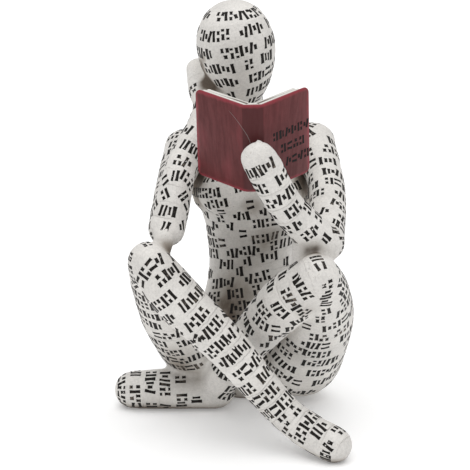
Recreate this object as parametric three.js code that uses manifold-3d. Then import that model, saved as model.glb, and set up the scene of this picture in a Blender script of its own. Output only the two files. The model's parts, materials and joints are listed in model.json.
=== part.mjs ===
// A seated woman reading: a faceless figure cast in one piece, with her knees raised, her shins
// crossed, one hand at her jaw and the other on the spine of an open book, which is a second piece.
// Sizes are in millimetres.  +Z is up, she faces -Y, and her right side is at -X.
import * as THREE from 'three';
import { mergeVertices } from 'three/addons/utils/BufferGeometryUtils.js';
import Module from 'manifold-3d';

const wasm = await Module();
wasm.setup();

// Fineness of the surface: facets round a limb, the length between two rings, rings in a round end
const LIMB_SIDES = 18;
const TRUNK_SIDES = 28;
const WEB_SIDES = 12;
const RING_STEP = 5.3;
const CAP_RINGS = 4;
const WELD = 1e-4;

// The middle of the footprint, which becomes the origin
const FOOTPRINT_MIDDLE = [-0.9, -24.2];

// The directions that half widths are measured along
const ACROSS_BODY = [1, 0, 0];
const UPWARDS = [0, 0, 1];
const ACROSS_LEFT_PALM = [0.85, 0, 0.53];

// Limbs, each as stations of [[x, y, z], half width, half depth] over the ground at z = 0.
// The half depth is left out where the limb is round.
const TRUNK = [
  [[5.8, 2, 13], 21.5, 14], // seat
  [[5.8, 1.5, 19], 22.5, 15], // pelvis
  [[5.8, 5.5, 32], 18, 12.5],
  [[5.8, 10, 46], 14.9, 10.5], // waist
  [[5.9, 9.5, 60], 16.6, 11],
  [[6.6, 7.5, 69], 19.4, 12],
  [[6, 6.5, 76], 20.8, 12], // chest
  [[5.7, 10.5, 85], 17, 9.5],
];
const YOKE = [
  [[-17.8, 9, 88.6], 7.4], // right shoulder
  [[-6, 11.5, 89], 7.8, 8.2],
  [[5.7, 12, 90], 8.2, 8.6],
  [[17, 11.5, 90], 7.8, 8.2],
  [[28.3, 9.5, 90.6], 7.4], // left shoulder
];
const NECK = [
  [[5.2, 12, 93], 8.4],
  [[4.4, 8, 101], 6.6],
  [[3, 2, 112], 6.2],
];
const RIGHT_THIGH = [
  [[-11, -2, 17], 14.5], // hip
  [[-20.5, -25, 38], 11.8],
  [[-26.5, -42, 56], 8.7],
  [[-28.5, -52.5, 66], 7.1], // knee
];
const RIGHT_SHIN_AND_FOOT = [
  [[-26.8, -53.1, 64], 7.3], // knee
  [[-20.3, -54, 55.5], 8.3],
  [[-3, -54.5, 37.5], 7.2],
  [[16.5, -55.5, 14.5], 5.9], // ankle
  [[24.5, -58.5, 8.9], 6.3],
  [[33, -63, 5.65], 6.1], // toes
];
const LEFT_THIGH = [
  [[23, -6, 16.5], 15.6, 15], // hip
  [[28, -27, 38.5], 13.2, 12.6],
  [[28.5, -44, 53.5], 9.8, 9.4],
  [[27, -55, 62], 7.8], // knee
];
const LEFT_SHIN = [
  [[25, -53, 60], 7.9], // knee
  [[17.6, -46.5, 51], 9],
  [[5, -31, 31], 7.6],
  [[-6.5, -16, 9], 6.4], // ankle
];
const LEFT_FOOT = [
  [[-7, -14.8, 7.2], 7.4], // heel
  [[-25, -14.5, 6.8], 7.2],
  [[-36.3, -14, 6.25], 6.6], // toes
];
const RIGHT_UPPER_ARM = [
  [[-18, 7.6, 88.2], 7.1], // shoulder
  [[-21.3, -15, 81.5], 6, 6.6],
  [[-22.8, -39.5, 74], 6.3], // elbow
];
const RIGHT_FOREARM = [
  [[-22, -37.6, 77], 6], // elbow
  [[-18, -28.5, 93], 5.2],
  [[-10, -14.5, 108], 4.4], // wrist
  [[-10.2, -4, 113.5], 6.1, 4.1],
  [[-12.6, 2.3, 119.3], 4.5, 3.4], // fingertips
];
const LEFT_UPPER_ARM = [
  [[28.6, 8, 90], 7.1], // shoulder
  [[32, -15, 79.8], 6.1],
  [[30.2, -43, 69.8], 6.4], // elbow
];
const LEFT_FOREARM = [
  [[28, -44.3, 71.4], 6.4], // elbow
  [[17.4, -51, 84], 6],
  [[13, -54, 92], 5.9, 5.4], // wrist
  [[9.4, -56.3, 99.4], 6.1, 4.6],
  [[7.2, -57.2, 103.4], 5.7, 3.9], // fingertips
];
// The web of resin that ties the left elbow to the knee
const ELBOW_WEB = [
  [[23.3, -44.5, 70], 4.6],
  [[23.6, -47.5, 62], 4.8],
];

// The bust, as two flattened balls sunk into the chest: their x, their y and z, and their half sizes
const BUST_SIDES = [-3.6, 15.4];
const BUST_PLACE = [-1.2, 75.6];
const BUST_HALF_SIZES = [9, 7.6, 8];
const BUST_RINGS = 12;

// The egg-shaped head: its middle, half sizes, how much it narrows to the chin, and its lean
const HEAD_MIDDLE = [0.9, -4.7, 125.4];
const HEAD_HALF_LENGTH = 20;
const HEAD_HALF_WIDTH = 13.2;
const HEAD_HALF_DEPTH = 13.9;
const HEAD_TAPER = 0.22;
const HEAD_BOW = THREE.MathUtils.degToRad(18);
const HEAD_TILT = THREE.MathUtils.degToRad(-9);
const HEAD_SIDES = 26;
const HEAD_RINGS = 16;

// The open book, from the middle of the outer face of its spine.  The lean and the roll are in degrees.
const BOOK_SPINE = [6, -52.6, 104.7];
const BOOK_LEAN = 8;
const BOOK_ROLL = -1.4;
const BOOK_OPENING = THREE.MathUtils.degToRad(45.5);
const COVER_WIDTH = 21.6;
const COVER_HEIGHT = 30.4;
const COVER_THICKNESS = 1.1;
const COVER_CORNER = 1.7;
const CORNER_FACETS = 5;
const SPINE_WIDTH = 6.8;
const SPINE_DEPTH = 2;
const PAGE_THICKNESS = 2.8;
const PAGE_INSET = 0.8;
const PAGE_OVERLAP = 0.05;
const CREASE_STEP = 0.15;
const PALM_GAP = 0.3;

// A closed triangle mesh as a solid that can be joined and cut
function solidOf(geometry) {
  const bare = geometry.clone();
  bare.deleteAttribute('normal');
  bare.deleteAttribute('uv');
  const merged = mergeVertices(bare, WELD);
  return new wasm.Manifold(new wasm.Mesh({
    numProp: 3,
    vertProperties: new Float32Array(merged.attributes.position.array),
    triVerts: new Uint32Array(merged.index.array),
  }));
}

function geometryOf(solid) {
  const mesh = solid.getMesh();
  const geometry = new THREE.BufferGeometry();
  geometry.setAttribute('position', new THREE.BufferAttribute(mesh.vertProperties, 3));
  geometry.setIndex(new THREE.BufferAttribute(mesh.triVerts, 1));
  geometry.computeVertexNormals();
  return geometry;
}

function join(solids) {
  return solids.reduce((whole, piece) => whole.add(piece));
}

// A round-ended limb through its stations, which is a ball drawn out along the path.  The half width
// is measured along side, and the half depth across it.
function limb(stations, side = ACROSS_BODY, sides = LIMB_SIDES) {
  const joints = stations.map(([joint]) => new THREE.Vector3(...joint));
  const girths = stations.map(([, wide, deep = wide]) => new THREE.Vector3(wide, deep, 0));
  const path = new THREE.CatmullRomCurve3(joints);
  const girth = new THREE.CatmullRomCurve3(girths, false, 'catmullrom');
  const lengthRings = Math.max(2, Math.round(path.getLength() / RING_STEP));
  const rings = lengthRings + 2 * CAP_RINGS;
  const ball = new THREE.SphereGeometry(1, sides, rings);
  ball.deleteAttribute('uv');
  ball.deleteAttribute('normal');
  const skin = mergeVertices(ball, WELD);
  const places = skin.attributes.position;
  const sideways = new THREE.Vector3(...side);
  for (let i = 0; i < places.count; i += 1) {
    const around = new THREE.Vector2(places.getX(i), places.getZ(i)).normalize();
    const latitude = Math.acos(THREE.MathUtils.clamp(places.getY(i), -1, 1)) / Math.PI;
    const ring = Math.round(latitude * rings);
    const along = THREE.MathUtils.clamp((ring - CAP_RINGS) / lengthRings, 0, 1);
    const startTurn = Math.min(ring / CAP_RINGS, 1) * Math.PI / 2;
    const endTurn = Math.min((rings - ring) / CAP_RINGS, 1) * Math.PI / 2;
    const spread = Math.sin(startTurn) * Math.sin(endTurn);
    const size = girth.getPoint(along);
    const centre = path.getPoint(along);
    const forward = path.getTangent(along);
    const bulge = (Math.cos(endTurn) - Math.cos(startTurn)) * (size.x + size.y) / 2;
    const across = sideways.clone().addScaledVector(forward, -sideways.dot(forward)).normalize();
    const outward = new THREE.Vector3().crossVectors(forward, across);
    centre.addScaledVector(forward, bulge);
    centre.addScaledVector(across, around.x * size.x * spread);
    centre.addScaledVector(outward, around.y * size.y * spread);
    places.setXYZ(i, centre.x, centre.y, centre.z);
  }
  return solidOf(skin);
}

function bust(x) {
  const ball = new THREE.SphereGeometry(1, LIMB_SIDES, BUST_RINGS);
  ball.rotateX(Math.PI / 2);
  ball.scale(...BUST_HALF_SIZES);
  ball.translate(x, ...BUST_PLACE);
  return solidOf(ball);
}

// The head, as a ball drawn out and narrowed towards the chin
function head() {
  const egg = new THREE.SphereGeometry(1, HEAD_SIDES, HEAD_RINGS);
  const places = egg.attributes.position;
  for (let i = 0; i < places.count; i += 1) {
    const narrowing = 1 + HEAD_TAPER * places.getY(i);
    places.setX(i, places.getX(i) * HEAD_HALF_WIDTH * narrowing);
    places.setY(i, places.getY(i) * HEAD_HALF_LENGTH);
    places.setZ(i, places.getZ(i) * HEAD_HALF_DEPTH * narrowing);
  }
  egg.rotateX(Math.PI / 2 + HEAD_BOW);
  egg.rotateY(HEAD_TILT);
  egg.translate(...HEAD_MIDDLE);
  return solidOf(egg);
}

// One board of the cover, from the spine outwards along +X, with its outer face just over y = 0
function board(grow) {
  const width = COVER_WIDTH + grow;
  const half = COVER_HEIGHT / 2 + grow;
  const start = -(grow + CREASE_STEP) / 2;
  const outline = new THREE.Shape();
  outline.moveTo(start, -half);
  outline.absarc(width - COVER_CORNER, COVER_CORNER - half, COVER_CORNER, -Math.PI / 2, 0);
  outline.absarc(width - COVER_CORNER, half - COVER_CORNER, COVER_CORNER, 0, Math.PI / 2);
  outline.lineTo(start, half);
  outline.closePath();
  const slab = new THREE.ExtrudeGeometry(outline, {
    depth: COVER_THICKNESS + 2 * grow,
    bevelEnabled: false,
    curveSegments: CORNER_FACETS,
  });
  slab.rotateX(Math.PI / 2);
  slab.translate(0, COVER_THICKNESS + grow + CREASE_STEP, 0);
  return slab;
}

// The leaves on one board, as a slab that lies against its inner face
function pageBlock() {
  const width = COVER_WIDTH - PAGE_INSET;
  const slab = new THREE.BoxGeometry(width, PAGE_THICKNESS, COVER_HEIGHT - 2 * PAGE_INSET);
  slab.translate(width / 2, COVER_THICKNESS + PAGE_THICKNESS / 2 - PAGE_OVERLAP, 0);
  return slab;
}

// The open book, with its spine towards -Y and its fore edges apart
function book(grow = 0) {
  const strip = new THREE.BoxGeometry(
    SPINE_WIDTH + 2 * grow, SPINE_DEPTH + grow, COVER_HEIGHT + 2 * grow);
  strip.translate(0, (SPINE_DEPTH - grow) / 2, 0);
  const solids = [solidOf(strip)];
  for (const slab of [board(grow), pageBlock()]) {
    slab.rotateZ(BOOK_OPENING);
    slab.translate(SPINE_WIDTH / 2, 0, 0);
    const leftHalf = solidOf(slab);
    solids.push(leftHalf, leftHalf.mirror([1, 0, 0]));
  }
  return join(solids).rotate([BOOK_LEAN, BOOK_ROLL, 0]).translate(BOOK_SPINE);
}

// Everything over the ground, so that the seat and the feet are cut flat
const ROOM = 400;
const overGround = solidOf(new THREE.BoxGeometry(ROOM, ROOM, ROOM).translate(0, 0, ROOM / 2));

const body = join([
  limb(TRUNK, ACROSS_BODY, TRUNK_SIDES),
  limb(YOKE, UPWARDS),
  ...BUST_SIDES.map(bust),
  limb(NECK),
  head(),
  limb(RIGHT_THIGH),
  limb(RIGHT_SHIN_AND_FOOT),
  limb(LEFT_THIGH),
  limb(LEFT_SHIN),
  limb(LEFT_FOOT),
  limb(RIGHT_UPPER_ARM),
  limb(RIGHT_FOREARM),
  limb(LEFT_UPPER_ARM),
  limb(LEFT_FOREARM, ACROSS_LEFT_PALM),
  limb(ELBOW_WEB, ACROSS_BODY, WEB_SIDES),
]).intersect(overGround).subtract(book(PALM_GAP));

const OFF_WHITE_RESIN = new THREE.MeshStandardMaterial({ color: 0xdcd9d3, roughness: 0.6, metalness: 0 });
const DARK_RED_PAINT = new THREE.MeshStandardMaterial({ color: 0x7d353c, roughness: 0.5, metalness: 0 });

function part(name, solid, material) {
  const mesh = new THREE.Mesh(geometryOf(solid), material);
  mesh.name = name;
  return mesh;
}

const figurine = new THREE.Group();
figurine.add(part('figure', body, OFF_WHITE_RESIN));
figurine.add(part('book', book(), DARK_RED_PAINT));
figurine.position.set(-FOOTPRINT_MIDDLE[0], -FOOTPRINT_MIDDLE[1], 0);

export default figurine;
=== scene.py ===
"""Dresses the seated reader: her papered skin, the printed marks, the book and a plain studio."""

import json
import math

import bmesh
import bpy
import numpy as np
from bpy.props import FloatProperty, FloatVectorProperty, IntProperty, PointerProperty
from bpy.types import Operator, Panel, PropertyGroup
from mathutils import Euler, Matrix, Vector, noise
from mathutils.bvhtree import BVHTree

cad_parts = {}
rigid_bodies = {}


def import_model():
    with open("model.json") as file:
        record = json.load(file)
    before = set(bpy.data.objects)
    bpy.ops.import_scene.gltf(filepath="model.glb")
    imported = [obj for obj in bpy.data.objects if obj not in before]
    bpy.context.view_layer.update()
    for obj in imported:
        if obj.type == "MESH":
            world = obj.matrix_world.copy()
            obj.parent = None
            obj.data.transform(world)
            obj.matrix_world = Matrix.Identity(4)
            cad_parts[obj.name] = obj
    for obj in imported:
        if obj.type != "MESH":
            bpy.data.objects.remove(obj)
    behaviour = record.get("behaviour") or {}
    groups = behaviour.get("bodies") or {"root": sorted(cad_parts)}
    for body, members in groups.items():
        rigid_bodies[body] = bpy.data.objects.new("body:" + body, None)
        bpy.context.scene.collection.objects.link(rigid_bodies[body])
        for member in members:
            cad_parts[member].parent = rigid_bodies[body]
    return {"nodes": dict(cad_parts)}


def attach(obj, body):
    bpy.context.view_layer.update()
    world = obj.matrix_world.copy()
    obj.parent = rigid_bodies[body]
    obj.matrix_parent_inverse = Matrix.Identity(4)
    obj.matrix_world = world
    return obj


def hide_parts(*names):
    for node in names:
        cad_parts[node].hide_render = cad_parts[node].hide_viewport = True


bl_info = {
    "name": "Seated Reader Figurine",
    "version": (1, 0, 0),
    "blender": (4, 5, 0),
    "location": "3D View > Sidebar > Reader",
    "description": "Builds a seated reading figurine with rows of printed marks",
    "category": "Add Mesh",
}

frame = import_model()
MM = 0.001

# The pose is measured in millimetres from below the waist; the frame's origin is the middle of
# the footprint.
TO_FRAME = Vector((0.9, 24.2, 0.0))


# Node trees

class Reading:
    """A node's output that takes part in arithmetic: each expression adds its Math nodes."""

    def __init__(self, graph, socket):
        self.graph = graph
        self.socket = socket

    def maths(self, operation, *values):
        return self.graph.node("ShaderNodeMath", {"operation": operation}, dict(enumerate(values)))

    def __add__(self, other):
        return self.maths("ADD", self, other)

    __radd__ = __add__

    def __sub__(self, other):
        return self.maths("SUBTRACT", self, other)

    def __rsub__(self, other):
        return self.maths("SUBTRACT", other, self)

    def __mul__(self, other):
        return self.maths("MULTIPLY", self, other)

    __rmul__ = __mul__

    def __abs__(self):
        return self.maths("ABSOLUTE", self)

    def fraction(self):
        return self.maths("FRACT", self)

    def whole(self):
        return self.maths("FLOOR", self)

    def ramp(self, low, high):
        """0 under low, 1 over high, and smooth between them."""
        ends = {"Value": self, "From Min": low, "From Max": high}
        return self.graph.node("ShaderNodeMapRange", {"interpolation_type": "SMOOTHSTEP"}, ends)


class Graph:
    """A node tree filled by expressions, and by one method for every node."""

    def __init__(self, tree):
        self.tree = tree
        tree.nodes.clear()

    def node(self, kind, settings=None, sockets=None, output=0):
        """Adds a node, with its settings first and then its sockets, and reads that output."""
        node = self.tree.nodes.new(kind)
        for key, value in (settings or {}).items():
            setattr(node, key, value)
        for key, value in (sockets or {}).items():
            if isinstance(value, Reading):
                self.tree.links.new(value.socket, node.inputs[key])
            else:
                node.inputs[key].default_value = value
        return Reading(self, node.outputs[output]) if len(node.outputs) else None


class Finish(Graph):
    """A material's graph, with the few patterns that the finishes here share."""

    def __init__(self, name):
        self.material = bpy.data.materials.new(name)
        self.material.use_nodes = True
        super().__init__(self.material.node_tree)
        self.place = self.node("ShaderNodeTexCoord", output="Object")

    def attribute(self, name):
        return self.node("ShaderNodeAttribute", {"attribute_name": name}, output="Fac")

    def stretched(self, scale):
        return self.node("ShaderNodeMapping", None, {"Vector": self.place, "Scale": scale})

    def cloud(self, per_metre, detail=3.0, rough=0.55, place=None):
        sockets = {"Vector": place or self.place, "Scale": per_metre, "Detail": detail,
                   "Roughness": rough}
        return self.node("ShaderNodeTexNoise", None, sockets, "Fac")

    def blend(self, share, first, second):
        sockets = {0: share, 6: first, 7: second}
        return self.node("ShaderNodeMix", {"data_type": "RGBA"}, sockets, 2)

    def relief(self, height, depth, under=None):
        sockets = {"Height": height, "Distance": depth}
        if under is not None:
            sockets["Normal"] = under
        return self.node("ShaderNodeBump", None, sockets)

    def finished(self, sockets):
        surface = self.node("ShaderNodeBsdfPrincipled", None, sockets)
        self.node("ShaderNodeOutputMaterial", None, {"Surface": surface})
        return self.material


def tone(colour, share=1.0):
    """A colour as a socket wants it, made darker by that share."""
    return (*(part * share for part in colour[:3]), 1.0)


# Limb guides: the line inside each limb that the paper strips and the printed rows go round

# name: (stations of (x, y, z, radius), row pitch, mark height, a reach where a row lies, tilt in
# degrees, rows on the rounded ends, marks in the longest word), lengths in millimetres
GUIDES = {
    "head": ([
        (0.6, -5.2, 131.5, 13), (1, -4.7, 125, 13.5), (2.2, -2.5, 112, 11), (2.8, -0.5, 106, 8),
    ], 5.9, 3.8, 5.5, -8, 3, 8),
    "neck": ([(3, 2, 112, 6.5), (4.4, 8, 101, 7), (5.2, 12, 93, 9)], 5, 3.2, 2.5, 0, 0, 5),
    "torso": ([
        (6, 8.5, 92, 14), (6, 6.5, 76, 18), (6.2, 8, 69, 16), (5.9, 9.2, 60, 14),
        (5.8, 9, 46, 13), (5.8, 6, 32, 15), (5.8, 3, 19, 18), (5.8, 2, 8, 18),
    ], 5.15, 3.6, 30, -11, 1, 9),
    "right_arm": ([
        (5.7, 12, 90, 8.4), (-6, 11.5, 89, 8), (-17.5, 6.5, 88, 7.3), (-21.3, -15, 81.5, 6.3),
        (-22.4, -34, 75.5, 6.3), (-22.8, -40, 75.5, 6.6), (-21.3, -37, 82, 6),
        (-18, -28.5, 93, 5.2), (-10, -14.5, 108, 4.4), (-10.2, -4, 113.5, 5.2),
        (-12.6, 2.3, 119.3, 4),
    ], 6.3, 3.8, 41, 0, 0, 4),
    "left_arm": ([
        (5.7, 12, 90, 8.4), (17, 11.5, 90, 8), (28.3, 6.5, 89.4, 7.3), (32, -15, 79.8, 6.1),
        (31, -36, 72, 6.3), (28.4, -43.5, 71.5, 6.8), (23.4, -47.3, 77, 6.3), (17.4, -51, 84, 6),
        (13, -54, 92, 5.6), (9.4, -56.3, 99.4, 5.6), (7.2, -57.2, 103.4, 5.2),
    ], 6.4, 3.9, 111.5, 0, 0, 5),
    "right_leg": ([
        (-9, 0, 14, 14.5), (-20.5, -25, 38, 11.8), (-26, -42, 55.5, 8.7), (-26.8, -49.5, 61, 8),
        (-24, -53.2, 59.5, 8), (-20.3, -54, 55.5, 8.3), (-3, -54.5, 37.5, 7.2),
        (16.5, -55.5, 14.5, 5.9), (24.5, -58.5, 8.9, 6.3), (33, -63, 5.65, 6.1),
    ], 6.1, 4, 109.5, 0, 1, 7),
    "left_leg": ([
        (21.5, -3, 13.5, 15.4), (28, -27, 38.5, 13), (28.5, -42.5, 52.5, 9.8), (27, -50, 58, 8.8),
        (22.5, -50.5, 56, 8.8), (17.6, -46.5, 51, 9), (5, -31, 31, 7.6), (-3.5, -19.5, 12, 6.6),
        (-7.5, -16.2, 8.5, 7),
    ], 7, 4.1, 89.5, 0, 0, 6),
    "left_foot": ([
        (-7, -16.5, 8.6, 7), (-10, -15, 7.6, 7.2), (-25, -14.5, 6.8, 7.2), (-36.3, -14, 6.25, 6.6),
    ], 5.5, 3.8, 17.8, 0, 1, 6),
}
GUIDE_STEP = 1.0
CURVE_PIECES = 24
BORDER_SPAN = 2.0
CHUNK = 20000

# A bend counts as longer, so that the rows outside it don't lie too far apart
BEND_SHARE = 1.25

# Rows kept for each guide's numbers
GUIDE_ROWS = 40.0


def curve_through(points):
    """A smooth line through the points, by Catmull and Rom's rule."""
    ends = np.vstack([2 * points[0] - points[1], points, 2 * points[-1] - points[-2]])
    t = (np.arange(CURVE_PIECES) / CURVE_PIECES)[:, None]
    runs = [0.5 * (2 * b + (c - a) * t + (2 * a - 5 * b + 4 * c - d) * t ** 2
                   + (3 * b - a - 3 * c + d) * t ** 3)
            for a, b, c, d in zip(ends, ends[1:], ends[2:], ends[3:])]
    return np.vstack([*runs, points[-1]])


class Guide:
    """A limb's middle line, and the rows that lie across it."""

    def __init__(self, stations, pitch, height, row_reach, tilt, cap_rows, longest_word):
        stations = np.array(stations, float)
        stations[:, :3] += np.array(TO_FRAME)
        dense = curve_through(stations)
        steps = np.linalg.norm(np.diff(dense[:, :3], axis=0), axis=1)
        run = np.concatenate([[0.0], np.cumsum(steps)])
        reach = np.arange(0.0, run[-1], GUIDE_STEP)
        self.points = np.stack([np.interp(reach, run, dense[:, k]) for k in range(3)], axis=1)
        self.radius = np.interp(reach, run, dense[:, 3])
        along = np.gradient(self.points, axis=0)
        self.tangents = along / np.linalg.norm(along, axis=1, keepdims=True)
        bend = np.linalg.norm(np.gradient(self.tangents, GUIDE_STEP, axis=0), axis=1)
        stretch = np.cumsum(1.0 + BEND_SHARE * bend * self.radius) * GUIDE_STEP
        self.rows = (stretch - np.interp(row_reach, reach, stretch)) / pitch
        self.pitch = pitch
        self.height = height
        self.slope = math.tan(math.radians(tilt))
        self.cap_rows = cap_rows
        self.longest_word = longest_word

    def across(self, row):
        """A row's middle, radius and direction, and its angle onto a rounded end."""
        held = min(max(row, self.rows[0]), self.rows[-1])
        parts = np.column_stack([self.points, self.radius, self.tangents])
        read = np.array([np.interp(held, self.rows, part) for part in parts.T])
        return Vector(read[:3]), read[3], Vector(read[4:]).normalized(), (
            (row - held) * self.pitch / read[3])

    def all_rows(self):
        low, high = math.ceil(self.rows[0]), math.floor(self.rows[-1])
        return range(low - self.cap_rows, high + self.cap_rows + 1)


def all_guides():
    return [Guide(*row) for row in GUIDES.values()]


def strip_readings(places, guides):
    """For points in millimetres: the row that each lies on, its guide's number, and how near it
    is to a neighbouring guide's ground."""
    best = np.full(len(places), np.inf)
    second = best.copy()
    rows = np.zeros(len(places))
    owners = np.zeros(len(places), int)
    for number, guide in enumerate(guides):
        for start in range(0, len(places), CHUNK):
            part = slice(start, start + CHUNK)
            gaps = places[part, None, :] - guide.points[None]
            depth = np.linalg.norm(gaps, axis=2) - guide.radius[None]
            near = depth.argmin(axis=1)
            each = np.arange(len(near))
            score, gap, tangent = depth[each, near], gaps[each, near], guide.tangents[near]
            axial = (gap * tangent).sum(axis=1)
            radial = np.sqrt(np.maximum((gap * gap).sum(axis=1) - axial ** 2, 0.0))
            past = np.where(near == 0, axial < 0, (near == len(guide.rows) - 1) & (axial > 0))
            axial = np.where(past, np.arctan2(axial, radial) * guide.radius[near], axial)
            offset = (axial - guide.slope * gap[:, 0]) / guide.pitch
            row = guide.rows[near] + offset + GUIDE_ROWS * (number + 1)
            better = score < best[part]
            second[part] = np.where(better, best[part], np.minimum(second[part], score))
            for kept, new in ((best, score), (rows, row), (owners, number)):
                kept[part] = np.where(better, new, kept[part])
    return rows, owners, np.clip(1.0 - (second - best) / BORDER_SPAN, 0.0, 1.0)


# Mesh helpers

def link(name, data):
    piece = bpy.data.objects.new(name, data)
    bpy.context.scene.collection.objects.link(piece)
    return piece


def baked(piece, name):
    """The piece with its modifiers taken into a plain mesh under a new name."""
    bpy.context.view_layer.update()
    graph = bpy.context.evaluated_depsgraph_get()
    mesh = bpy.data.meshes.new_from_object(piece.evaluated_get(graph))
    mesh.name = name
    bpy.data.objects.remove(piece)
    return link(name, mesh)


def mesh_from(shape, name):
    mesh = bpy.data.meshes.new(name)
    shape.to_mesh(mesh)
    shape.free()
    return mesh


def read_array(source, key, width, kind=np.float32):
    flat = np.empty(len(source) * width, kind)
    source.foreach_get(key, flat)
    return flat.reshape(-1, width)


def places_of(mesh):
    return read_array(mesh.vertices, "co", 3).astype(float)


def normals_of(mesh):
    return read_array(mesh.vertex_normals, "vector", 3).astype(float)


def edges_of(mesh):
    return read_array(mesh.edges, "vertices", 2, np.int32)


def tree_of(mesh):
    faces = [face.vertices[:] for face in mesh.polygons]
    return BVHTree.FromPolygons(places_of(mesh).tolist(), faces)


def put_places(mesh, places):
    mesh.vertices.foreach_set("co", places.astype(np.float32).ravel())
    mesh.update()


def write_attribute(mesh, name, values, kind="FLOAT", key="value"):
    layer = mesh.attributes.new(name, kind, "POINT")
    layer.data.foreach_set(key, np.ravel(values))


def relaxed(values, edges, share):
    """Each vertex's value moved by that share towards the mean of its neighbours."""
    count = len(values)
    first, second = edges[:, 0], edges[:, 1]
    degree = np.maximum(np.bincount(edges.ravel(), minlength=count), 1)
    total = [np.bincount(first, part[second], count) + np.bincount(second, part[first], count)
             for part in values.T]
    return values + share * (np.column_stack(total) / degree[:, None] - values)


LEVEL_AIM = 1e-3
STEEP = 0.9


def enclosed(mesh, tree, count, reach, start):
    """How closed in each vertex is, from 0 in the open to 1 in a crease, by rays of that reach
    to the mesh or to the ground."""
    places, normals = places_of(mesh), normals_of(mesh)
    turns = (np.arange(count) + 0.5) / count
    angle = np.arange(count) * math.pi * (3.0 - math.sqrt(5.0))
    out = np.sqrt(turns)
    rays = np.stack([out * np.cos(angle), out * np.sin(angle), np.sqrt(1.0 - turns)], axis=1)
    helper = np.where(np.abs(normals[:, 2:]) < STEEP, [[0.0, 0.0, 1.0]], [[1.0, 0.0, 0.0]])
    side = np.cross(helper, normals)
    side /= np.linalg.norm(side, axis=1, keepdims=True)
    third = np.cross(normals, side)
    starts = places + normals * start
    total = np.zeros(len(places))
    for ray in rays:
        aims = side * ray[0] + third * ray[1] + normals * ray[2]
        fall = np.maximum(-aims[:, 2], LEVEL_AIM)
        ground = np.where(aims[:, 2] < -LEVEL_AIM, starts[:, 2] / fall, reach)
        casts = (tree.ray_cast(place, aim, reach)[3]
                 for place, aim in zip(starts.tolist(), aims.tolist()))
        gaps = np.array([reach if gap is None else gap for gap in casts])
        total += 1.0 - np.clip(np.minimum(gaps, ground), 0.0, reach) / reach
    return total / count


# The figure's skin

MERGE_GAP = 1e-6
WEB_STEPS = 4
SMOOTH_ROUNDS = 22
SMOOTH_IN = 0.6
SMOOTH_OUT = -0.615
LAP_SOFTENING = 0.4
STRIP_STEP = 0.05
FOOT_BAND = 0.3 * MM
FOOT_LIFT = 0.1 * MM

# Waves of the surface: (waves in a metre, height in millimetres)
UNEVEN_SCALES = ((150.0, 0.16), (420.0, 0.06))

# The burr on the left hand's tip
FINGERTIP = (7.6, -57.4, 108.4)
BURR_SPREAD = 1.3 * MM
BURR_HEIGHT = 1.5 * MM

CREASE_REACH = 9.0 * MM
HOLLOW_REACH = 70.0 * MM
RAY_START = 0.25 * MM
SHADE_SOFTENING = 0.5

# The lump of glue that holds the right elbow on the knee: (x, y, z, radius) at each end
ELBOW_WEB = ((-22.6, -21.5, 72.5, 3.6), (-23.2, -24.8, 68.4, 2.8))

# Low swellings of the skin: (x, y, z, spread, height) in the frame's millimetres
SWELLINGS = ((-13, 28, 78, 6.0, 1.4), (-15, -13, 85, 6.0, 0.4),
             (26, 26, 75, 6.0, 1.9), (27.5, 0, 80, 6.0, 0.6))

# Spots of brown wash and of painted shade: (x, y, z, spread, strength) in the frame's millimetres
WASH_AND_SHADE_SPOTS = (
    (6, 24, 55, 11, 0.26), (1, 20, 39, 8, 0.4), (0, 17, 33, 6, 0.82), (7, 19, 71.5, 2.8, 0.6),
    (14, 20, 57, 4, 0.8), (-13, 27, 74, 4.5, 1.1), (-14, 24, 80, 3, 0.8), (25, 24, 77, 6, 1),
    (18, -8, 26, 7, 0.35), (-19, 1, 18, 4, 0.85), (-19, -5, 26, 6, 0.45), (-13, 5, 12, 4, 0.4),
    (-26, 2, 2, 6, 0.4), (-22, -24.5, 69, 2.4, 1.4), (-24, -20, 72, 5, 0.15),
    (25, -31, 50, 4, 0.45), (25, -27.5, 69, 3, 0.55), (29, -29, 70, 2.5, 0.45),
    (-10, 11, 126.5, 1.3, 0.8), (-10, 14, 124, 1.5, 1.2), (-9.3, 16, 121, 1.7, 1.3),
    (-8.4, 16.5, 118, 1.8, 1.3), (-7.8, 15.5, 115.3, 2.2, 1.3), (8.5, -33, 101, 6, 0.16),
)


def web_shape(shape, web):
    """A lump drawn between two balls, as a closed shell of its own."""
    ends = [(Vector(end[:3]), end[3]) for end in web]
    for step in range(WEB_STEPS + 1):
        share = step / WEB_STEPS
        place = ends[0][0].lerp(ends[1][0], share) * MM
        radius = (ends[0][1] * (1 - share) + ends[1][1] * share) * MM
        ball = Matrix.Translation(place)
        bmesh.ops.create_icosphere(shape, subdivisions=3, radius=radius, matrix=ball)


def near_to(places, spots):
    """The strengths of the spots, each fading with distance, added up for every place."""
    total = np.zeros(len(places))
    for x, y, z, spread, strength in spots:
        far = np.linalg.norm(places / MM - (x, y, z), axis=1) / spread
        total += strength * np.exp(-0.5 * far ** 2)
    return total


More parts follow.
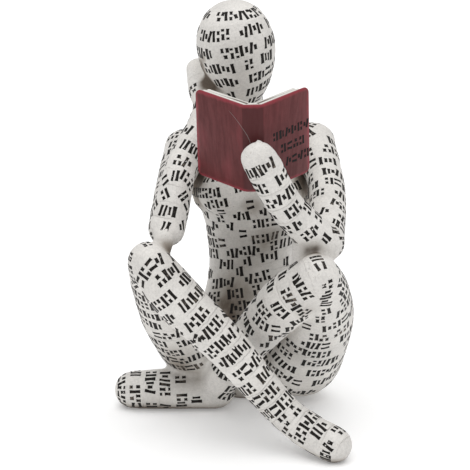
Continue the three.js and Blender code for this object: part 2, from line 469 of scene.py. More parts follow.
def skin_shape(settings):
    """The figure's solid, its facets and creases softened, with strips that lap like shingles."""
    shape = bmesh.new()
    shape.from_mesh(frame["nodes"]["figure"].data)
    bmesh.ops.remove_doubles(shape, verts=shape.verts, dist=MERGE_GAP)
    web_shape(shape, ELBOW_WEB)
    rough = link("figure_skin_rough", mesh_from(shape, "figure_skin_rough"))
    remesh = rough.modifiers.new("even mesh", "REMESH")
    remesh.mode = "VOXEL"
    remesh.voxel_size = settings.fineness * 1.0
    skin = baked(rough, "figure_skin")
    mesh = skin.data
    edges = edges_of(mesh)
    places = start = places_of(mesh)
    for _ in range(SMOOTH_ROUNDS):
        places = relaxed(relaxed(places, edges, SMOOTH_IN), edges, SMOOTH_OUT)
    put_places(mesh, places)
    rows, _, border = strip_readings(places / MM, all_guides())
    lap = ((rows + 0.5) % 1.0 - 0.5) * (1.0 - border)
    lap = relaxed(lap[:, None], edges, LAP_SOFTENING)[:, 0]
    push = lap * STRIP_STEP + near_to(places, SWELLINGS)
    for scale, height in UNEVEN_SCALES:
        push += height * np.array([noise.noise(Vector(place) * scale) for place in places])
    places = places + normals_of(mesh) * (push * settings.unevenness * MM)[:, None]
    tip = np.array((Vector(FINGERTIP) + TO_FRAME) * MM)
    near = np.clip(1.0 - np.linalg.norm(places - tip, axis=1) / BURR_SPREAD, 0.0, 1.0)
    places[:, 2] += near ** 2 * BURR_HEIGHT
    grounded = np.minimum(places[:, 2], FOOT_LIFT)
    places[:, 2] = np.where(start[:, 2] < FOOT_BAND, grounded, places[:, 2])
    places[:, 2] = np.maximum(places[:, 2], 0.0)
    put_places(mesh, places)
    write_attribute(mesh, "strip", rows)
    write_attribute(mesh, "border", border)
    return skin


def skin_finish(colours):
    """Off-white papered resin in gritty strips, brown wash in folds and painted shade in hollows.
    """
    finish = Finish("papered resin")
    crease = finish.attribute("crease")
    hollow = finish.attribute("hollow")
    strip = finish.attribute("strip")
    inside = 1.0 - finish.attribute("border")
    mottle = finish.cloud(95.0, 4.0, 0.6)
    patches = finish.cloud(38.0, 2.0, 0.5)
    grit = finish.cloud(1100.0, 3.0, 0.7)
    streaks = finish.cloud(210.0, 3.0, 0.62, finish.stretched((1.0, 1.0, 0.35)))
    row = strip + (mottle - 0.5) * 0.5 + 0.5
    edge = 1.0 - abs((row + 0.5).fraction() - 0.5).ramp(0.0, 0.045)
    edge = edge * patches.ramp(0.44, 0.66) * inside
    chance = {"noise_dimensions": "1D"}
    sheet = finish.node("ShaderNodeTexWhiteNoise", chance, {"W": row.whole()}, "Value")
    light = mottle.ramp(0.35, 0.7) * 0.3 + sheet * 0.2 + grit.ramp(0.34, 0.66) * 0.5
    pale = finish.blend(light, tone(colours.paper, 0.78), tone(colours.paper, 1.09))
    # Painted shade: the broad hollows go towards the grime colour
    hollow_shade = (hollow + (patches - 0.5) * 0.12).ramp(0.4, 1.0)
    # Listed spots: brown wash at folds and elbows, painted shade on the belly and under the thighs
    spot_wash_and_shade = finish.attribute("spot_wash_and_shade") * (0.55 + streaks * 0.9) + (grit - 0.5) * 0.12
    smear = (crease + (streaks - 0.5) * 0.25).ramp(0.1, 0.55)
    for share in (grit.ramp(0.6, 0.72) * 0.5, edge * 0.18, hollow_shade * 0.5,
                  spot_wash_and_shade.ramp(0.05, 0.85) * 0.85, smear * 0.4):
        pale = finish.blend(share, pale, tone(colours.grime_and_shade))
    # Brown wash in the folds; at the listed spots it also stands for painted shade
    wash = (crease * 0.9 + spot_wash_and_shade * 0.55 + (streaks - 0.5) * 0.34).ramp(0.36, 0.80)
    final = finish.blend(wash * 0.85, pale, tone(colours.wash))
    fine = finish.relief(grit, 0.00020)
    normal = finish.relief(mottle * 0.8 - edge * 0.8, 0.00025, fine)
    rough = 0.58 + (grit - 0.5) * 0.12 + wash * 0.15
    return finish.finished({"Base Color": final, "Roughness": rough, "Normal": normal})


# The printed marks

# Each mark is a few bold strokes in a cell one high, as (x, y) to (x, y) and a breadth.  None is
# a letter, and the strokes of a mark don't touch.
MARKS = (
    ((0.12, 0, 0.3, 1, 1.05), (0.54, 0, 0.7, 1, 0.85)),
    ((0.15, 0, 0.15, 1, 1.15), (0.62, 0.24, 0.62, 0.78, 1.05)),
    ((0.14, 0, 0.14, 1, 1), (0.6, 0, 0.6, 0.36, 1.05), (0.6, 1, 0.6, 0.62, 1.05)),
    ((0.66, 1, 0.66, 0, 1), (0.2, 0.04, 0.2, 0.38, 1), (0.2, 0.64, 0.2, 1, 1)),
    ((0.1, 0, 0.32, 1, 1.1), (0.66, 0.28, 0.66, 0.74, 1.15)),
    ((0.46, 0, 0.68, 1, 1.1), (0.14, 0.28, 0.14, 0.74, 1.15)),
    ((0.15, 0, 0.15, 0.42, 1.1), (0.64, 0, 0.64, 0.42, 1.1), (0.4, 0.64, 0.4, 1, 1.3)),
    ((0.16, 0, 0.16, 0.56, 1.1), (0.16, 0.8, 0.16, 1, 1.1), (0.62, 0, 0.62, 0.22, 1.1),
     (0.62, 0.46, 0.62, 1, 1.1)),
    ((0.02, 0.22, 0.76, 0.14, 1), (0.04, 0.76, 0.78, 0.86, 1)),
    ((0.22, 0, 0.22, 1, 1.3), (0.64, 0.14, 0.64, 0.86, 0.85)),
    ((0.58, 0, 0.58, 1, 1.3), (0.16, 0.14, 0.16, 0.86, 0.85)),
    ((0.16, 0, 0.16, 0.3, 1.15), (0.16, 0.62, 0.16, 1, 1.15), (0.62, 0, 0.62, 1, 1.1)),
)
MARK_WIDTH = 0.8
STROKE_WIDTH = 0.265

# A stroke's breadth from end to end, and how far its edges stray
STROKE_STEPS = (0.0, 0.14, 0.4, 0.78, 1.0)
STROKE_WIDTHS = (1.1, 1.06, 0.93, 0.95, 1.12)
STROKE_RAGGED = 0.13

# Where a ray may meet a limb's skin, in shares of its radius, and how squarely
FIT_LOW = 0.45
FIT_HIGH = 2.0
FACING = 0.36

# How near another limb's ground a mark may lie, and how far round a rounded end
NEAR_NEIGHBOUR = 0.65
LAST_TURN = math.radians(72)

# The room that a mark needs, in its own widths and heights, and the lowest print
CLEAR_SIDE = 0.84
CLEAR_UP = 1.1
LOWEST_PRINT = 1.2 * MM

# How high a mark's corners are probed from, and how uneven they may lie
PROBE_LIFT = 1.5 * MM
PROBE_DROP = 0.8 * MM

SHORTEST_WORD = 3
FIRST_WORD = 5
ROW_WANDER = 0.06
ROW_WEAR = 0.6
SHORT_SIDE = 0.3

# How many pitches apart two rows lie where another fits between them
FAN_SHARE = 1.25

# Spots that were left without print: (x, y, z, radius) in the frame's millimetres
BLANKS = ((-9.5, 3, 13, 6.0), (-13, 22, 120, 6.0))


def stroke_solid(shape, level, stroke, rng):
    """One ragged stroke as a thin closed slab.  level tells its top face from its foot."""
    start, end = Vector((*stroke[:2], 0.0)), Vector((*stroke[2:4], 0.0))
    along = (end - start).normalized()
    side = Vector((-along.y, along.x, 0.0)) * stroke[4] * STROKE_WIDTH / 2
    rings = []
    for step, width in zip(STROKE_STEPS, STROKE_WIDTHS):
        middle = start.lerp(end, step) - Vector((MARK_WIDTH / 2, 0.5, 0.0))
        ring = []
        left, right = width * (1.0 + rng.uniform(-STROKE_RAGGED, STROKE_RAGGED, 2))
        for corner, height in ((-left, 0.0), (right, 0.0), (right, 1.0), (-left, 1.0)):
            vertex = shape.verts.new(middle + side * corner)
            vertex[level] = height
            ring.append(vertex)
        rings.append(ring)
    for one, two in zip(rings, rings[1:]):
        for k in range(4):
            j = (k + 1) % 4
            shape.faces.new((one[k], one[j], two[j], two[k]))
    shape.faces.new(rings[0][::-1])
    shape.faces.new(rings[-1])


def mark_collection(seed):
    """The marks as flat meshes, in the order that their numbers pick them."""
    collection = bpy.data.collections.new("mark shapes")
    rng = np.random.default_rng(seed)
    for number, strokes in enumerate(MARKS):
        shape = bmesh.new()
        level = shape.verts.layers.float.new("level")
        for stroke in strokes:
            stroke_solid(shape, level, stroke, rng)
        name = f"mark_{number:02d}"
        collection.objects.link(bpy.data.objects.new(name, mesh_from(shape, name)))
    return collection


def marks_tree():
    """Puts a numbered mark on every point, laid on the surface as a thin film."""
    tree = bpy.data.node_groups.new("marks on a surface", "GeometryNodeTree")
    for name, kind in (("Geometry", "Geometry"), ("Shapes", "Collection"), ("Surface", "Object"),
                       ("Film", "Float"), ("Sink", "Float"), ("Ink", "Material")):
        tree.interface.new_socket(name, in_out="INPUT", socket_type="NodeSocket" + kind)
    tree.interface.new_socket("Geometry", in_out="OUTPUT", socket_type="NodeSocketGeometry")
    graph = Graph(tree)

    def given(name):
        return graph.node("NodeGroupInput", output=name)

    def step(kind, sockets=None, settings=None, output=0):
        return graph.node("GeometryNode" + kind, settings, sockets, output)

    def named(name, kind):
        return step("InputNamedAttribute", {"Name": name}, {"data_type": kind}, "Attribute")

    def vector(operation, first, second, key=1):
        settings = {"operation": operation}
        return graph.node("ShaderNodeVectorMath", settings, {0: first, key: second})

    shapes = step("CollectionInfo", {
        "Collection": given("Shapes"), "Separate Children": True, "Reset Children": True})
    laid = step("InstanceOnPoints", {
        "Points": given("Geometry"), "Instance": shapes, "Pick Instance": True,
        "Instance Index": named("mark", "INT"), "Rotation": named("turn", "FLOAT_VECTOR"),
        "Scale": named("size", "FLOAT")})
    real = step("RealizeInstances", {"Geometry": laid})
    surface = step("ObjectInfo", {"Object": given("Surface")}, output="Geometry")
    near = step("Proximity", {0: surface}, {"target_element": "FACES"})
    facing = step("SampleNearestSurface", {"Mesh": surface, "Value": step("InputNormal")},
                  {"data_type": "FLOAT_VECTOR"})
    height = named("level", "FLOAT") * given("Film") - given("Sink")
    place = vector("ADD", near, vector("SCALE", facing, height, "Scale"))
    moved = step("SetPosition", {"Geometry": real, "Position": place})
    inked = step("SetMaterial", {"Geometry": moved, "Material": given("Ink")})
    graph.node("NodeGroupOutput", None, {"Geometry": inked})
    return tree


def printed(name, spots, surface, shapes, tree, ink, settings):
    """The marks at the spots, as one plain mesh laid on that surface."""
    places, turns, marks, sizes, worn = (np.array(column) for column in zip(*spots))
    mesh = bpy.data.meshes.new(name)
    mesh.from_pydata(places.tolist(), [], [])
    write_attribute(mesh, "turn", turns, "FLOAT_VECTOR", "vector")
    write_attribute(mesh, "mark", marks, "INT")
    write_attribute(mesh, "size", sizes)
    write_attribute(mesh, "worn", worn)
    points = link(name + "_points", mesh)
    modifier = points.modifiers.new("marks", "NODES")
    modifier.node_group = tree
    values = {"Shapes": shapes, "Surface": surface, "Ink": ink, "Film": settings.film,
              "Sink": settings.sink}
    for item in tree.interface.items_tree:
        if item.in_out == "INPUT" and item.name in values:
            modifier[item.identifier] = values[item.name]
    piece = baked(points, name)
    if not len(piece.data.polygons):
        raise RuntimeError(f"{name} came out empty")
    piece.data.materials.clear()
    piece.data.materials.append(ink)
    piece.data.polygons.foreach_set("material_index", [0] * len(piece.data.polygons))
    return piece


def turn_of(side, up, facing):
    return tuple(Matrix((side, up, facing)).transposed().to_euler())


def round_axis(along):
    """Two directions square to the axis, the first towards the front, and which way is up."""
    up = along if along.z > 0 else -along
    forward = Vector((0, -1, 0))
    first = forward - along * along.dot(forward)
    if first.length < SHORT_SIDE:
        first = Vector((0, 0, 1)) - along * along.z
    first.normalize()
    return first, up.cross(first), up


def aim_on(along, past, out):
    """The direction out of a row, turned onto a rounded end by the angle past it."""
    return out * math.cos(past) + along * math.sin(past)


def surface_from(tree, middle, aim, slant, guide, wander):
    """Where a ray from a limb's middle meets its skin, on a row that slants across it."""
    reach = guide.radius.max() * FIT_HIGH * MM
    gap = tree.ray_cast(middle * MM, aim, reach)[3]
    if gap is None:
        return None, None, None
    start = middle * MM + slant * (aim.x * gap * guide.slope + wander * MM)
    hit, normal, _, gap = tree.ray_cast(start, aim, reach)
    return hit, normal, gap


def lies_even(tree, hit, axes, size):
    """Whether a mark's four corners would lie on the same patch of skin as its middle."""
    side, up, normal = axes
    for across, along in ((-1, -1), (1, -1), (1, 1), (-1, 1)):
        corner = hit + (side * across * MARK_WIDTH + up * along) * (size / 2)
        gap = tree.ray_cast(corner + normal * PROBE_LIFT, -normal, 3 * PROBE_LIFT)[3]
        if gap is None or abs(gap - PROBE_LIFT) > PROBE_DROP:
            return False
    return True


def rows_fan_out(tree, guide, row, out):
    """Whether the rows next to this one lie far apart on that side, as outside a bend."""
    ends = []
    for beside in (row - 0.5, row + 0.5):
        middle, _, along, past = guide.across(beside)
        flat = (out - along * out.dot(along)).normalized()
        aim = aim_on(along, past, flat)
        ends.append(surface_from(tree, middle, aim, along, guide, 0.0)[0])
    return None not in ends and (ends[0] - ends[1]).length > FAN_SHARE * guide.pitch * MM


def mark_axes(normal, along, up, slope, flipped):
    """How a mark lies on the skin: along its row, up, and outwards."""
    flat_up = (up - normal * up.dot(normal)).normalized()
    side = flat_up.cross(normal)
    side = (side + along * (slope * side.x)).normalized()
    side = -side if flipped else side
    return side, normal.cross(side), normal


def is_free(tree, guides, number, hit, axes, taken):
    """Whether a mark has room there, on its own limb and on even skin, outside the blanks."""
    height = guides[number].height * MM
    room = np.array([MARK_WIDTH * CLEAR_SIDE, CLEAR_UP, 1.0]) * height
    offsets = abs((taken - np.array(hit)) @ np.array(axes).T)
    if hit.z < LOWEST_PRINT or (offsets < room).all(axis=1).any():
        return False
    place = np.array([hit]) / MM
    _, owners, border = strip_readings(place, guides)
    if owners[0] != number or border[0] > NEAR_NEIGHBOUR:
        return False
    if any(math.dist(place[0], blank[:3]) < blank[3] for blank in BLANKS):
        return False
    return lies_even(tree, hit, axes, height)


def mark_spots(tree, settings):
    """Rows of marks round every limb, in words, where the limb's own surface shows, and then
    rows between them outside the bends."""
    rng = np.random.default_rng(settings.seed)
    guides = all_guides()
    spots, taken = [], np.empty((0, 3))
    full_rows = [(number, row, False) for number, guide in enumerate(guides)
                 for row in guide.all_rows()]
    half_rows = [(number, row + 0.5, True) for number, row, _ in full_rows]
    for number, row, between in full_rows + half_rows:
        guide = guides[number]
        cell = guide.height * MARK_WIDTH * settings.spacing
        middle, radius, along, past = guide.across(row)
        if abs(past) > LAST_TURN:
            continue
        first, second, up = round_axis(along)
        angle = rng.uniform(0.0, 2 * math.pi)
        end = angle + 2 * math.pi
        left = int(rng.integers(FIRST_WORD))
        worn_row = rng.uniform()
        while angle < end:
            out = first * math.cos(angle) + second * math.sin(angle)
            aim = aim_on(along, past, out)
            wander = rng.normal(0.0, ROW_WANDER) * guide.height
            mark = int(rng.integers(len(MARKS)))
            worn = ROW_WEAR * worn_row + (1.0 - ROW_WEAR) * rng.uniform()
            hit, normal, gap = surface_from(tree, middle, aim, along, guide, wander)
            far = radius if gap is None else max(gap / MM, radius * FIT_LOW)
            angle += cell / (far * math.cos(past))
            left -= 1
            if left < 0:
                left = int(rng.integers(SHORTEST_WORD, guide.longest_word + 1))
                continue
            if hit is None or gap < radius * FIT_LOW * MM or normal.dot(aim) < FACING:
                continue
            if between and not rows_fan_out(tree, guide, row, out):
                continue
            axes = mark_axes(normal, along, up, guide.slope, rng.uniform() < 0.5)
            if is_free(tree, guides, number, hit, axes, taken):
                taken = np.vstack([taken, hit])
                spots.append((tuple(hit), turn_of(*axes), mark, guide.height * MM, worn))
    return spots


PRINT_WEAR = 0.8
COVER_WEAR = 0.6


def ink_finish(name, colour, ground, wear):
    """Blotted print: dark, with worn patches where the ground's colour comes through."""
    finish = Finish(name)
    blot = finish.cloud(900.0, 3.0, 0.65)
    patch = finish.cloud(260.0, 2.0, 0.5)
    thin = (blot * 0.6 + patch * 0.4 + (finish.attribute("worn") - 0.5) * 0.3).ramp(0.56, 0.80)
    return finish.finished({
        "Base Color": finish.blend(thin * wear, tone(colour), tone(ground)),
        "Roughness": 0.5 + blot * 0.2, "Specular IOR Level": 0.2,
        "Normal": finish.relief(blot, 0.00004)})


# The book

SPINE_PLACE = (6.0, -52.6, 104.7)
BOOK_LEAN = math.radians(8.0)
BOOK_ROLL = math.radians(-1.4)
BOOK_OPENING = math.radians(45.5)
BOARD_WIDTH = 22.1
BOARD_HEIGHT = 30.4
BOARD_THICKNESS = 1.1
BOARD_CORNER = 2.1
BOARD_BEVEL = 0.42
BEVEL_ANGLE = math.radians(40)
CORNER_STEPS = 6
CREASE_STEP = 0.15
SPINE_WIDTH = 6.8
LEAF_WIDTHS = {1: 18.9, -1: 19.9}
LEAF_HEIGHT = 30.2
LEAF_BEVEL = 0.15
LEAF_CORNER = 0.5
LEAF_SINK = 0.1
LEAF_RAYS = 14
LEAF_RAY_START = RAY_START / 10

# Blocks of leaves on a board, and the core between them: (low, high, inset)
LEAF_LAYERS = ((0.0, 1.05, 0.0), (1.6, 2.9, 0.25))
LEAF_CORE = (0.9, 1.9, 1.2)

# The section of the leaves where they meet over the spine, in the book's own x and y
GUTTER = ((2.75, 0.85), (0.85, 2.85), (-0.85, 2.85), (-2.75, 0.85))

# A thin curved scratch over the -X board and the spine: across = a + b * high + c * high ** 2
SCRATCH = (-0.69, -0.036, -0.048)

# Half of the spine's section in x and y: a flat back with a shallow joint groove at its side
HALF_SPINE = ((3.5, 1.1), (3.5, 0.25), (2.95, 0.22), (2.45, -0.02), (0.9, -0.12))


def book_place():
    """Takes the book's own millimetres, from the middle of its spine, to the frame's metres."""
    turn = Matrix.Rotation(BOOK_ROLL, 4, "Y") @ Matrix.Rotation(BOOK_LEAN, 4, "X")
    return Matrix.Scale(MM, 4) @ Matrix.Translation(Vector(SPINE_PLACE) + TO_FRAME) @ turn


def half_place(side):
    """One half of the book, hinged at the spine's edge.  side is 1 for +X and -1 for -X."""
    swing = Matrix.Translation((SPINE_WIDTH / 2, 0, 0)) @ Matrix.Rotation(BOOK_OPENING, 4, "Z")
    return book_place() @ Matrix.Diagonal((side, 1, 1, 1)) @ swing


def board_outline(width, height, corner, steps=CORNER_STEPS):
    """An outline in x and z: square at the spine, rounded at the fore edge."""
    half = height / 2
    points = [(0.0, -half)]
    for z, start in ((corner - half, -math.pi / 2), (half - corner, 0.0)):
        for k in range(steps + 1):
            angle = start + math.pi / 2 * k / steps
            x = width - corner + corner * math.cos(angle)
            points.append((x, z + corner * math.sin(angle)))
    points.append((0.0, half))
    return points


def bridged(shape, near, far):
    """A closed solid between two equal rings of points."""
    rings = [[shape.verts.new(point) for point in ring] for ring in (near, far)]
    shape.faces.new(rings[0])
    shape.faces.new(rings[1][::-1])
    for k in range(len(near)):
        j = (k + 1) % len(near)
        shape.faces.new((rings[0][j], rings[0][k], rings[1][k], rings[1][j]))


def slab(shape, outline, low, high, place):
    bridged(shape, *([place @ Vector((x, y, z)) for x, z in outline] for y in (low, high)))


def upright(shape, section, half):
    place = book_place()
    bridged(shape, *([place @ Vector((x, y, z)) for x, y in section] for z in (-half, half)))


def bevelled(shape, name, width, segments):
    bmesh.ops.recalc_face_normals(shape, faces=shape.faces)
    piece = link(name, mesh_from(shape, name))
    soft = piece.modifiers.new("soft edges", "BEVEL")
    soft.width = width * MM
    soft.segments = segments
    soft.limit_method = "ANGLE"
    soft.angle_limit = BEVEL_ANGLE
    return baked(piece, name)


def boards_shape():
    shape = bmesh.new()
    outline = board_outline(BOARD_WIDTH, BOARD_HEIGHT, BOARD_CORNER)
    for side in (1, -1):
        slab(shape, outline, CREASE_STEP, CREASE_STEP + BOARD_THICKNESS, half_place(side))
    section = [*HALF_SPINE, *((-x, y) for x, y in HALF_SPINE[::-1])]
    upright(shape, section, BOARD_HEIGHT / 2)
    return bevelled(shape, "book_boards", BOARD_BEVEL, 3)


def leaves_shape():
    shape = bmesh.new()
    base = CREASE_STEP + BOARD_THICKNESS - LEAF_SINK
    for side, width in LEAF_WIDTHS.items():
        for low, high, inset in (*LEAF_LAYERS, LEAF_CORE):
            outline = board_outline(width - inset, LEAF_HEIGHT - 2 * inset, LEAF_CORNER, 3)
            slab(shape, outline, base + low, base + high, half_place(side))
    upright(shape, GUTTER, LEAF_HEIGHT / 2 - LEAF_SINK)
    return bevelled(shape, "book_leaves", LEAF_BEVEL, 2)


def boards_finish(colours):
    """Dark red paint brushed on upright: painted highlight on the rims, painted shade on the
    spine.
    """
    finish = Finish("brushed dark red paint")
    brush = finish.cloud(700.0, 3.0, 0.6, finish.stretched((1.0, 1.0, 0.10)))
    broad = finish.cloud(140.0, 2.0, 0.5, finish.stretched((1.0, 1.0, 0.35)))
    mottle = finish.cloud(420.0, 3.0, 0.6)
    outward, high = finish.attribute("outward"), finish.attribute("high")
    across = finish.attribute("across")
    ragged = (mottle - 0.5) * 2.2 + (broad - 0.5) * 1.2
    inner = (BOARD_WIDTH - outward + ragged).ramp(0.3, 1.9)
    inner = inner * (BOARD_HEIGHT / 2 - abs(high) + ragged * 0.7).ramp(0.15, 1.4)
    curve = SCRATCH[0] + high * SCRATCH[1] + high * high * SCRATCH[2]
    scratch = 1.0 - abs(across - curve).ramp(0.04, 0.18)
    scratch = scratch * high.ramp(1.6, 2.6) * (12.0 - high).ramp(0.0, 1.0)
    shade = (brush * 0.5 + broad * 0.3 + mottle * 0.2).ramp(0.36, 0.64)
    paint = finish.blend(shade, tone(colours.cover, 0.70), tone(colours.cover))
    paint = finish.blend(broad.ramp(0.5, 0.75) * 0.25, paint, tone(colours.cover_edge))
    # Painted shade: the spine goes darker
    spine = 1.0 - abs(across).ramp(SPINE_WIDTH / 2 - 0.1, SPINE_WIDTH / 2 + 0.1)
    paint = finish.blend(spine * 0.85, paint, tone(colours.cover, 0.55))
    # Painted highlight: the rims, outside the inner field, go to the brighter red
    paint = finish.blend((1.0 - inner) * 0.85, paint, tone(colours.cover_edge))
    paint = finish.blend(scratch * 0.36, paint, tone(colours.leaf, 0.5))
    normal = finish.relief(brush + mottle * 0.5 - scratch, 0.00006)
    return finish.finished({
        "Base Color": paint, "Roughness": 0.58 - shade * 0.16, "Normal": normal,
        "Coat Weight": 0.05 + shade * 0.05, "Specular IOR Level": 0.3})


def leaves_finish(colours):
    """Off-white paint on the leaves, with painted shade in the gaps between them."""
    finish = Finish("painted leaf edges")
    mottle = finish.cloud(500.0, 3.0, 0.6)
    paint = finish.blend(mottle.ramp(0.4, 0.7), tone(colours.leaf, 0.9), tone(colours.leaf))
    # Painted shade: dark brown in the gaps, where the leaves are closed in
    gap = finish.attribute("crease").ramp(0.35, 0.8)
    return finish.finished({
        "Base Color": finish.blend(gap * 0.9, paint, tone(colours.wash)),
        "Roughness": 0.6 + (mottle - 0.5) * 0.1, "Normal": finish.relief(mottle, 0.00005)})


def mark_boards(mesh):
    """Marks each point for the paint: how far from the hinge, how high, how far across."""
    home = book_place().inverted()
    halves = {side: half_place(side).inverted() for side in (1, -1)}
    own = [home @ vertex.co for vertex in mesh.vertices]
    hinged = [halves[1 if point.x > 0 else -1] @ vertex.co
              for point, vertex in zip(own, mesh.vertices)]
    write_attribute(mesh, "outward", [max(0.0, point.x) for point in hinged])
    write_attribute(mesh, "high", [point.z for point in own])
    write_attribute(mesh, "across", [point.x for point in own])


# Rows on the +X board, in its own millimetres: start x and z, and how many marks
COVER_ROWS = ((5.6, 2.4, 6), (9.4, -2.7, 4), (11.6, -7.9, 4))
COVER_MARK = 2.95
COVER_ROW_RISE = 0.02
COVER_WORN = 0.4


def cover_spots(settings):
    rng = np.random.default_rng(settings.seed + 1)
    place = half_place(1)
    turning = place.to_3x3()
    side = (turning @ Vector((1, 0, COVER_ROW_RISE))).normalized()
    facing = (turning @ Vector((0, -1, 0))).normalized()
    turn = turn_of(side, facing.cross(side), facing)
    spots = []
    for x, z, count in COVER_ROWS:
        for k in range(count):
            step = k * COVER_MARK
            spot = place @ Vector((x + step, CREASE_STEP, z + step * COVER_ROW_RISE))
            mark = int(rng.integers(len(MARKS)))
            worn = rng.uniform(0.0, COVER_WORN)
            spots.append((tuple(spot), turn, mark, COVER_MARK * MM, worn))
    return spots


# Settings

LENGTH = {"subtype": "DISTANCE", "unit": "LENGTH"}


def number_property(name, description, value, low, high, **kind):
    return FloatProperty(
        name=name, description=description, default=value, min=low, max=high, **kind)


def colour_property(name, description, value):
    return FloatVectorProperty(
        name=name, description=description, default=value, size=3, subtype="COLOR", min=0.0,
        max=1.0)


class ReaderColours(PropertyGroup):
    paper: colour_property("Paper", "Pale ground of the figure's skin", (0.76, 0.735, 0.70))
    # Also the colour of the painted shade in hollows and at the listed spots
    grime_and_shade: colour_property("Grime", "Grey-brown of strip edges and stains", (0.26, 0.225, 0.185))
    wash: colour_property("Wash", "Brown wash left in the creases", (0.085, 0.057, 0.036))
    # The wash's brown is also painted shade at the listed spots and in the gaps between the leaves
    ink: colour_property("Ink", "Print on the figure", (0.0075, 0.0055, 0.0045))
    worn_ink: colour_property("Worn ink", "Print where it has rubbed thin", (0.20, 0.17, 0.14))
    cover: colour_property("Cover", "Paint of the book's boards", (0.118, 0.014, 0.016))
    # A brighter red: patches on the boards and the painted highlight along their rims
    cover_edge: colour_property("Cover edge", "Paint of the boards' rims", (0.27, 0.028, 0.042))
    cover_ink: colour_property("Cover ink", "Print on the right board", (0.004, 0.002, 0.002))
    leaf: colour_property("Leaf", "Paint on the leaves of the book", (0.74, 0.72, 0.68))


class ReaderSizes(PropertyGroup):
    fineness: number_property(
        "Fineness", "Length of the skin's mesh cells", 0.00078, 0.0004, 0.003, **LENGTH)
    unevenness: number_property(
        "Unevenness", "How lumpy the papered surface is", 1.0, 0.0, 4.0, subtype="FACTOR")
    rays: IntProperty(
        name="Shade rays", description="Rays that find how closed in each point is",
        default=14, min=4, max=64)
    film: number_property(
        "Film", "Thickness of a printed mark", 0.0001, 0.00002, 0.0006, **LENGTH)
    sink: number_property(
        "Sink", "How far a mark's foot lies under the surface", 0.00005, 0.0, 0.0006, **LENGTH)
    spacing: number_property(
        "Spacing", "Distance between marks, in mark widths", 1.08, 1.0, 3.0, subtype="FACTOR")
    seed: IntProperty(name="Seed", description="Choice of marks and words", default=20, min=0)


class ReaderStudio(PropertyGroup):
    floor: colour_property("Floor", "Colour of the plain floor", (0.88, 0.88, 0.88))
    glow: number_property("Glow", "Light that comes through the floor", 0.24, 0.0, 5.0)
    sky: number_property("Sky", "Strength of the even light from all round", 0.52, 0.0, 5.0)
    key: number_property("Key", "Strength of the broad light from above", 1.9, 0.0, 20.0)
    spread: number_property(
        "Spread", "Breadth of the light from above", math.radians(75), 0.0, math.pi,
        subtype="ANGLE", unit="ROTATION")
    lens: number_property(
        "Lens", "Focal length of the camera", 157.5, 10.0, 400.0,
        subtype="DISTANCE_CAMERA", unit="CAMERA")


# Operators

class READER_OT_figure(Operator):
    """Makes the figure's skin from its solid"""
    bl_idname = "reader.figure"
    bl_label = "Figure"

    def execute(self, context):
        skin = skin_shape(context.scene.reader_sizes)
        mesh = skin.data
        tree = tree_of(mesh)
        rays = context.scene.reader_sizes.rays
        edges = edges_of(mesh)
        # Spots of brown wash and of painted shade
        write_attribute(mesh, "spot_wash_and_shade", near_to(places_of(mesh), WASH_AND_SHADE_SPOTS))
        # hollow drives the painted shade in broad hollows; crease drives the brown wash in folds
        for name, reach in (("crease", CREASE_REACH), ("hollow", HOLLOW_REACH)):
            shade = enclosed(mesh, tree, rays, reach, RAY_START)[:, None]
            for _ in range(2):
                shade = relaxed(shade, edges, SHADE_SOFTENING)
            write_attribute(mesh, name, shade)
        mesh.shade_smooth()
        mesh.materials.clear()
        mesh.materials.append(skin_finish(context.scene.reader_colours))
        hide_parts("figure")
        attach(skin, "root")
        return {"FINISHED"}


class READER_OT_book(Operator):
    """Makes the book's boards and spine, and its leaves"""
    bl_idname = "reader.book"
    bl_label = "Book"

    def execute(self, context):
        colours = context.scene.reader_colours
        boards, leaves = boards_shape(), leaves_shape()
        mark_boards(boards.data)
        boards.data.shade_smooth()
        boards.data.materials.append(boards_finish(colours))
        mesh = leaves.data
        shade = enclosed(mesh, tree_of(mesh), LEAF_RAYS, CREASE_REACH, LEAF_RAY_START)
        write_attribute(mesh, "crease", shade)
        mesh.materials.append(leaves_finish(colours))
        for piece, slot in ((boards, "dark_red_paint"), (leaves, "page_paint")):
            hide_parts("book")
            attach(piece, "root")
        return {"FINISHED"}


class READER_OT_print(Operator):
    """Lays rows of printed marks on the figure and on the book's right board"""
    bl_idname = "reader.print"
    bl_label = "Printed marks"

    def execute(self, context):
        sizes = context.scene.reader_sizes
        colours = context.scene.reader_colours
        skin, boards = bpy.data.objects.get("figure_skin"), bpy.data.objects.get("book_boards")
        if skin is None or boards is None:
            raise RuntimeError("the figure and the book come before their print")
        shapes = mark_collection(sizes.seed)
        tree = marks_tree()
        ink = ink_finish("blotted print", colours.ink, colours.worn_ink, PRINT_WEAR)
        cover_ink = ink_finish("print on the cover", colours.cover_ink, colours.cover, COVER_WEAR)
        rows = mark_spots(tree_of(skin.data), sizes)
        for name, spots, ground, paint in (
                ("printed_marks", rows, skin, ink),
                ("cover_marks", cover_spots(sizes), boards, cover_ink)):
            piece = printed(name, spots, ground, shapes, tree, paint, sizes)
            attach(piece, "root")
        for mark in list(shapes.objects):
            bpy.data.objects.remove(mark)
        bpy.data.collections.remove(shapes)
        return {"FINISHED"}


CAMERA_AIM = Vector((0.0, 0.0, 59.5)) + TO_FRAME
CAMERA_RISE = math.radians(17.0)
CAMERA_DISTANCE = 730.0
SENSOR = 36.0
NEAR_CLIP = 0.01
FLOOR_HALF = 4.0
SUN_TILT = math.radians(8.0)


def studio_floor(colour, glow):
    shape = bmesh.new()
    bmesh.ops.create_grid(shape, x_segments=1, y_segments=1, size=FLOOR_HALF)
    floor = link("studio_floor", mesh_from(shape, "studio_floor"))
    paint = Finish("studio floor paint")
    base = paint.blend(paint.cloud(3.0, 2.0, 0.5), tone(colour, 0.985), tone(colour))
    floor.data.materials.append(paint.finished(
        {"Base Color": base, "Roughness": 0.9, "Specular IOR Level": 0.1,
         "Emission Color": tone(colour), "Emission Strength": glow}))
    return floor


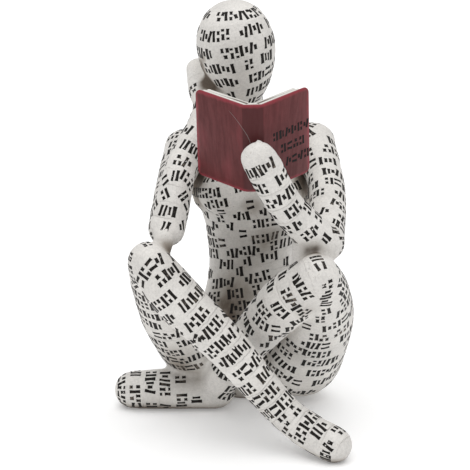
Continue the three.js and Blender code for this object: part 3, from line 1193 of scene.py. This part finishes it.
class READER_OT_studio(Operator):
    """Makes the floor, the soft light and the camera"""
    bl_idname = "reader.studio"
    bl_label = "Studio"

    def execute(self, context):
        scene = context.scene
        studio = scene.reader_studio
        studio_floor(studio.floor, studio.glow)

        world = bpy.data.worlds.new("studio world")
        world.use_nodes = True
        sky = world.node_tree.nodes["Background"]
        sky.inputs["Color"].default_value = (1.0, 1.0, 1.0, 1.0)
        sky.inputs["Strength"].default_value = studio.sky
        scene.world = world

        light = bpy.data.lights.new("broad_light", "SUN")
        light.energy = studio.key
        light.angle = studio.spread
        above = link("broad_light", light)
        above.location = (0.0, 0.0, 1.0)
        above.rotation_euler = (SUN_TILT, 0.0, 0.0)

        camera = bpy.data.cameras.new("camera")
        camera.lens = studio.lens
        camera.sensor_width = SENSOR
        camera.sensor_fit = "HORIZONTAL"
        camera.clip_start = NEAR_CLIP
        view = link("camera", camera)
        back = Vector((0.0, -math.cos(CAMERA_RISE), math.sin(CAMERA_RISE)))
        view.location = (CAMERA_AIM + back * CAMERA_DISTANCE) * MM
        view.rotation_euler = Euler((math.pi / 2 - CAMERA_RISE, 0.0, 0.0))
        scene.camera = view
        scene.view_settings.view_transform = "Standard"
        return {"FINISHED"}


class READER_PT_panel(Panel):
    """Lists what the figurine is made of"""
    bl_idname = "READER_PT_panel"
    bl_label = "Seated Reader"
    bl_space_type = "VIEW_3D"
    bl_region_type = "UI"
    bl_category = "Reader"

    def draw(self, context):
        for group, kind in GROUPS.items():
            box = self.layout.box()
            for key in kind.__annotations__:
                box.prop(getattr(context.scene, group), key)
        for step in STEPS:
            self.layout.operator(step.bl_idname)


STEPS = (READER_OT_figure, READER_OT_book, READER_OT_print, READER_OT_studio)
GROUPS = {"reader_sizes": ReaderSizes, "reader_colours": ReaderColours,
          "reader_studio": ReaderStudio}
CLASSES = (*GROUPS.values(), *STEPS, READER_PT_panel)


def register():
    for each in CLASSES:
        bpy.utils.register_class(each)
    for name, group in GROUPS.items():
        setattr(bpy.types.Scene, name, PointerProperty(type=group))


def unregister():
    for name in GROUPS:
        delattr(bpy.types.Scene, name)
    for each in reversed(CLASSES):
        bpy.utils.unregister_class(each)


def main():
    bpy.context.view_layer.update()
    register()
    bpy.ops.reader.figure()
    bpy.ops.reader.book()
    bpy.ops.reader.print()
    bpy.ops.reader.studio()


if __name__ == "__main__":
    main()
